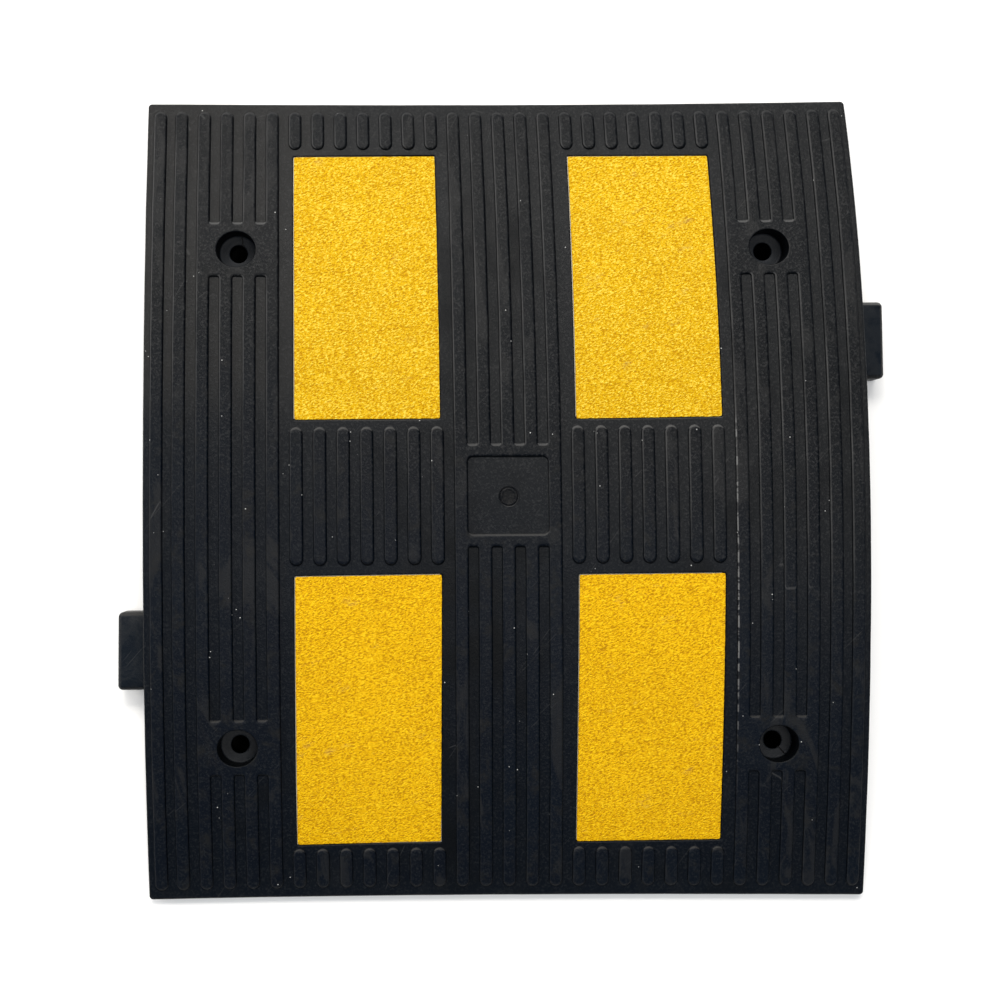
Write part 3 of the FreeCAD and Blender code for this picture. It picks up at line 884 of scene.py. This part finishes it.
def rubber_ground(n):
    """Dark rubber with smears, dusty groove floors and fine grain, bluer towards the front and lighter
    towards the rear: a painted blue sky reflection and a painted sheen.
    """
    cloud = n.noise(9.0, 5.0, 0.6)
    flow = n.noise(30.0, 6.0, 0.65, n.stretched((1.0, 0.3, 1.0), 8), 1.0)
    patches = n.remap(cloud, 0.35, 0.7)
    # Bluer towards the front: a painted blue sky reflection.
    front = n.mix(patches, (0.0001, 0.0014, 0.0044), (0.0003, 0.0022, 0.0058))
    rear = n.mix(patches, (0.0001, 0.0008, 0.0018), (0.0004, 0.0014, 0.0028))
    base = n.mix(n.rearward_painted_light, front, rear)
    base = n.mix(n.remap(n.mottle, 0.5, 0.68), base, (0.0060, 0.0064, 0.0070))
    base = n.mix(n.remap(flow, 0.55, 0.62, 0.0, 0.55), base, (0.0125, 0.0127, 0.0132))

    in_groove = n.remap(n.relief, 0.5, 0.0)
    dust = n.times(in_groove, n.remap(n.mottle, 0.3, 0.7, 0.6, 1.0))
    # The dust in the grooves is real. Its change from near-black blue at the front to pale grey at the
    # rear is painted light: a painted sky reflection and a painted sheen.
    dust_and_painted_light_color = n.mix(n.rearward_painted_light, (0.0001, 0.0014, 0.0038), (0.0062, 0.0070, 0.0080))
    base = n.mix(dust, base, dust_and_painted_light_color)
    bloom = n.times(n.remap(n.lengthwise, 0.04, 0.09), n.remap(n.across, -0.10, -0.14))
    base = n.mix(n.times(bloom, dust), base, (0.0115, 0.0115, 0.0115))
    # The grain is real. Its bluer front and lighter rear colours are painted light: a painted sky
    # reflection and a painted sheen.
    grain_and_painted_light_color = n.mix(n.rearward_painted_light, (0.0095, 0.0112, 0.0135), (0.0215, 0.0218, 0.0225))
    return n.mix(n.remap(n.pores, 0.50, 0.64, 0.0, 0.8), base, grain_and_painted_light_color)


def painted_edge_light_and_shade(n, base):
    """Painted highlights on the rear-facing walls at the rib ends and on the left shoulders, and
    painted shade as dark lines at the feet of the ribs.
    """
    # Painted highlights: pale rear-facing walls at the rib ends and streaked pale shoulders facing
    # left, brighter towards the rear.
    at_end = n.remap(n.magnitude(n.lengthwise), 0.262, 0.268, 1.0, 0.3)
    streaks = n.noise(60.0, 4.0, 0.6, n.stretched((1.0, 0.25, 1.0)))
    streaks = n.remap(streaks, 0.35, 0.6, 0.4, 1.0)
    streaks = n.times(streaks, n.remap(n.rearward_painted_light, 0.0, 1.0, 0.12, 0.5))
    painted_highlight = n.times(n.left_shoulders, streaks)
    painted_highlight = n.maths("MAXIMUM", n.times(n.rear_walls, at_end), painted_highlight)
    painted_highlight_color = n.mix(n.rearward_painted_light, (0.027, 0.027, 0.027), (0.066, 0.066, 0.066))
    base = n.mix(painted_highlight, base, painted_highlight_color)
    # Painted shade: dark lines in the creases at the feet of the ribs, away from the rear-facing
    # walls.
    foot = n.times(n.remap(n.relief, 0.02, 0.15), n.remap(n.relief, 1.3, 0.9))
    foot = n.times(foot, n.remap(n.rear_walls, 0.5, 0.0))
    return n.mix(foot, base, (0.0002, 0.0008, 0.0016))


def named_areas(n, base):
    """Mould mark, side walls, lug tops, bolt bores and bolt seats. The seats carry dust and painted
    blue skylight.
    """
    stamped = n.times(n.remap(n.relief, -0.12, -0.40), n.remap(n.relief, -1.1, -0.9))
    flecks = n.remap(n.pores, 0.50, 0.60)
    flecks = n.mix(flecks, (0.0006, 0.0012, 0.0022), (0.0070, 0.0070, 0.0070))
    base = n.mix(stamped, base, flecks)
    sides = n.remap(n.magnitude(n.facing((1.0, 0.0, 0.0))), 0.85, 0.95, 0.0, 0.7)
    sides = n.times(sides, n.remap(n.relief, -0.8, -1.2))
    base = n.mix(sides, base, (0.0004, 0.0009, 0.0018))
    lug_top = n.remap(n.magnitude(n.across), 0.2515, 0.2520)
    lug_top = n.times(lug_top, n.remap(n.facing((0.0, 0.0, 1.0)), 0.8, 0.95))
    lug_color = n.remap(n.mottle, 0.4, 0.6)
    lug_color = n.mix(lug_color, (0.0022, 0.0044, 0.0080), (0.0075, 0.0095, 0.0125))
    base = n.mix(lug_top, base, lug_color)
    base = n.mix(n.attribute("bore"), base, (0.0003, 0.0007, 0.0013))
    # Bolt seats lighter blue-grey: partly dust, partly painted blue skylight on the seat floors.
    seat_dust_and_skylight_color = n.remap(n.mottle, 0.35, 0.65)
    seat_dust_and_skylight_color = n.mix(seat_dust_and_skylight_color, (0.0110, 0.0135, 0.0175), (0.0175, 0.0195, 0.0230))
    return n.mix(n.attribute("seat"), base, seat_dust_and_skylight_color)


def wear(n, base):
    """Fine scratches, one worn rib edge and pale specks."""
    scratch = n.cells(34.0, n.stretched((1.0, 0.06, 1.0), -40), "DISTANCE_TO_EDGE")
    scratch = n.remap(scratch, 0.005, 0.0)
    scratch = n.times(scratch, n.remap(n.noise(24.0, 3.0, 0.6), 0.57, 0.63))
    base = n.mix(n.times(scratch, 0.4), base, (0.06, 0.06, 0.06))
    worn_rib = n.times(n.remap(n.across, 0.1560, 0.1565), n.remap(n.across, 0.1595, 0.1590))
    broken = n.remap(n.noise(150.0, 3.0, 0.6, n.stretched((0.3, 1.0, 1.0))), 0.47, 0.54)
    worn_reach = n.times(
        n.remap(n.lengthwise, 0.055, 0.045), n.remap(n.lengthwise, -0.22, -0.09)
    )
    worn = n.times(n.times(worn_rib, broken), n.left_shoulders)
    base = n.mix(n.times(worn, worn_reach), base, (0.11, 0.11, 0.11))
    speck = n.remap(n.cells(170.0), 0.085, 0.05)
    chosen = n.remap(n.noise(61.0, 0.0), 0.68, 0.69)
    return n.mix(n.times(speck, chosen), base, (0.40, 0.40, 0.39))


def rubber_material():
    """Moulded black rubber, lighter towards the rear edge and bluer towards the front.

    The photo shows it so, and this is painted light: a painted sheen towards the rear and a painted
    blue sky reflection towards the front.
    """
    n = RubberNodes("moulded_rubber")
    base = wear(n, named_areas(n, painted_edge_light_and_shade(n, rubber_ground(n))))
    n.link(base, n.shader.inputs["Base Color"])
    n.link(n.remap(n.mottle, 0.3, 0.75, 0.38, 0.52), n.shader.inputs["Roughness"])
    n.shader.inputs["Specular IOR Level"].default_value = 0.098
    coarse = n.bump(n.noise(85.0, 4.0, 0.55), 0.5, 0.0006)
    n.link(n.bump(n.pores, 0.9, 0.0003, coarse), n.shader.inputs["Normal"])
    return n.material


def panel_material(seed):
    """Yellow retroreflective sheet: wrinkled emboss, soft gloss and smears of road dirt, with painted
    shade in the emboss creases, painted glints on its crests, and front sheets painted brighter than
    rear ones.
    """
    n = Nodes(f"reflective_sheet_{seed}")
    # Front-to-rear gradient that carries painted light on the sheets.
    rearward_painted_light = n.remap(n.along((0.0, 1.0, 0.0)), -0.05, 0.05)
    shifted = n.tree.nodes.new("ShaderNodeMapping")
    shifted.inputs["Location"].default_value = (seed * 1.37, seed * 0.71, seed * 0.53)
    n.link(n.place, shifted.inputs["Vector"])
    n.place = shifted.outputs["Vector"]
    wrinkle = n.noise(560.0, 3.0, 0.6, n.stretched((1.0, 1.9, 1.0), 18), 0.4)
    fine = n.noise(900.0, 2.0, 0.5, n.stretched((1.0, 1.6, 1.0), 30))
    cloud = n.noise(22.0, 5.0, 0.65)
    # Front sheets painted brighter than the rear ones, to make up for the lesser light on them:
    # painted light.
    dull = n.mix(rearward_painted_light, (0.637, 0.345, 0.0002), (0.580, 0.338, 0.0006))
    bright = n.mix(rearward_painted_light, (0.690, 0.384, 0.0004), (0.627, 0.378, 0.0012))
    base = n.mix(n.remap(cloud, 0.3, 0.7), dull, bright)
    # Painted shade: dark orange-brown in the creases of the emboss.
    base = n.mix(n.remap(wrinkle, 0.50, 0.38), base, (0.40, 0.190, 0.0002))
    # Painted highlights on the emboss crests, paler and bluer towards the rear: painted glints and a
    # painted sheen.
    painted_glint = n.mix(rearward_painted_light, (0.79, 0.50, 0.008), (0.75, 0.55, 0.065))
    base = n.mix(n.remap(wrinkle, 0.53, 0.63), base, painted_glint)
    smear = n.remap(n.noise(38.0, 6.0, 0.68, n.stretched((1.0, 1.9, 1.0), 20)), 0.6, 0.76)
    base = n.mix(n.times(smear, 0.45), base, (0.33, 0.20, 0.07))
    # Painted shade: the steep cut edge of the sheet, down in the gap of its recess, is painted dark
    # brown.
    cut_edge_shade = n.remap(n.facing((0.0, 0.0, 1.0)), 0.72, 0.50)
    base = n.mix(cut_edge_shade, base, (0.12, 0.06, 0.01))
    n.link(base, n.shader.inputs["Base Color"])
    n.link(n.remap(wrinkle, 0.3, 0.7, 0.46, 0.30), n.shader.inputs["Roughness"])
    n.shader.inputs["Specular IOR Level"].default_value = 0.07
    first = n.bump(wrinkle, 1.0, 0.0010)
    n.link(n.bump(fine, 0.8, 0.0004, first), n.shader.inputs["Normal"])
    return n.material


def adhesive_material():
    """Pale adhesive film."""
    n = Nodes("adhesive_film")
    cloud = n.noise(300.0, 4.0, 0.6)
    n.link(n.mix(cloud, (0.30, 0.26, 0.17), (0.55, 0.50, 0.38)), n.shader.inputs["Base Color"])
    n.link(n.remap(cloud, 0.2, 0.8, 0.35, 0.7), n.shader.inputs["Roughness"])
    n.link(n.bump(cloud, 0.4, 0.0002), n.shader.inputs["Normal"])
    return n.material


def floor_material():
    n = Nodes("pale_floor")
    cloud = n.noise(3.0, 3.0)
    n.link(n.mix(cloud, (0.86, 0.86, 0.86), (0.89, 0.89, 0.89)), n.shader.inputs["Base Color"])
    n.shader.inputs["Roughness"].default_value = 0.9
    n.shader.inputs["Specular IOR Level"].default_value = 0.1
    return n.material


def road_and_shade_material(name):
    """Dark walls of the anchor holes in the stage floor: partly dark ground, partly painted shade down
    the bolt holes.
    """
    n = Nodes(name)
    grit = n.mix(n.noise(400.0, 4.0), (0.004, 0.004, 0.005), (0.012, 0.012, 0.013))
    n.link(grit, n.shader.inputs["Base Color"])
    n.shader.inputs["Roughness"].default_value = 0.9
    n.shader.inputs["Specular IOR Level"].default_value = 0.1
    return n.material


# Stage, light and camera ------------------------------------------------------------------

FLOOR_LEVEL = -0.2
FLOOR_REACH = 6000.0
ANCHOR_HOLE_RADIUS = 7.3
ANCHOR_HOLE_END = -110.0

# Area lights: name, place and size in metres, and power in watts.
LIGHTS = (
    ("overhead", (0.5, -0.2, 4.7), (1.5, 1.6), 74),
    ("rear", (0.2, 3.0, 3.6), (2.5, 1.6), 142),
    ("rear_left", (-1.4, 3.0, 3.5), (1.8, 1.6), 68),
    ("left", (-4.3, 1.2, 1.5), (3.0, 1.4), 145),
)
WARM_WHITE = (1.0, 0.955, 0.89)
SKY_WHITE = (0.82, 0.90, 1.0)

# Camera fitted to points measured in the photo: lens in millimetres, place in metres, turn in degrees.
CAMERA_LENS = 56.6427
CAMERA_PLACE = (-0.0776, -0.0134, 1.1215)
CAMERA_TURN = (2.3875, -2.0205, -0.6226)
CAMERA_SHIFT = 0.05


def stage_piece(name, shell, material):
    piece = mesh_object(name, shell.points, shell.faces, material)
    settle(piece)


def make_floor():
    """Pale floor, drilled under the bolt holes, which would show it pale and not dark."""
    shell = Shell()
    reach = FLOOR_REACH
    square = np.array([(-reach, -reach), (reach, -reach), (reach, reach), (-reach, reach)])
    outer = shell.loop(square, FLOOR_LEVEL)
    mouths = []
    for sign_x in (-1, 1):
        for sign_y in (-1, 1):
            radius = ANCHOR_HOLE_RADIUS
            ring = ellipse(sign_x * BOLT_X, sign_y * BOLT_Y, radius, radius, 32)
            mouths.append(shell.loop(ring, FLOOR_LEVEL))
            bore = Shell()
            mouth, end = bore.loop(ring, FLOOR_LEVEL), bore.loop(ring, ANCHOR_HOLE_END)
            bore.band(mouth, end)
            bore.faces.append(tuple(end))
            name = f"anchor_hole_{len(mouths)}"
            # Dark tube walls: partly dark ground, partly painted shade seen down the bolt holes.
            stage_piece(name, bore, road_and_shade_material(name))
    shell.fill(outer, mouths)
    stage_piece("pale_floor", shell, floor_material())


def soft_light(name, place, size, power):
    """Warm area light that faces the object."""
    data = bpy.data.lights.new(name, "AREA")
    data.shape = "RECTANGLE"
    data.size, data.size_y = size
    data.energy = power
    data.color = WARM_WHITE
    light = bpy.data.objects.new(name, data)
    light.location = place
    light.rotation_euler = (-Vector(place)).to_track_quat("-Z", "Y").to_euler()
    bpy.context.scene.collection.objects.link(light)


def make_camera():
    data = bpy.data.cameras.new("camera")
    data.sensor_width = 36.0
    data.lens = CAMERA_LENS
    data.shift_x = CAMERA_SHIFT
    data.shift_y = -CAMERA_SHIFT
    data.clip_end = 50.0
    camera = bpy.data.objects.new("camera", data)
    camera.location = CAMERA_PLACE
    camera.rotation_euler = [math.radians(angle) for angle in CAMERA_TURN]
    bpy.context.scene.collection.objects.link(camera)
    bpy.context.scene.camera = camera


def light_scene():
    world = bpy.data.worlds.new("studio")
    world.use_nodes = True
    background = world.node_tree.nodes["Background"]
    background.inputs["Color"].default_value = (*SKY_WHITE, 1.0)
    background.inputs["Strength"].default_value = 0.50
    bpy.context.scene.world = world
    for name, place, size, power in LIGHTS:
        soft_light(name, place, size, power)
    view = bpy.context.scene.view_settings
    view.view_transform = "Standard"
    view.look = "None"


rubber = rubber_material()
body = make_rubber_body(rubber)
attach(body, "root")
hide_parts("rubber_body")

for seed, quarter in enumerate(PANEL_CORNERS, start=1):
    panel = make_panel(quarter, seed, panel_material(seed))
    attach(panel, "root")
    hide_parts(f"reflector_{quarter}")
    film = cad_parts[f"adhesive_{quarter}"]
    film.data.materials.clear()
    film.data.materials.append(adhesive_material())

make_floor()
light_scene()
make_camera()
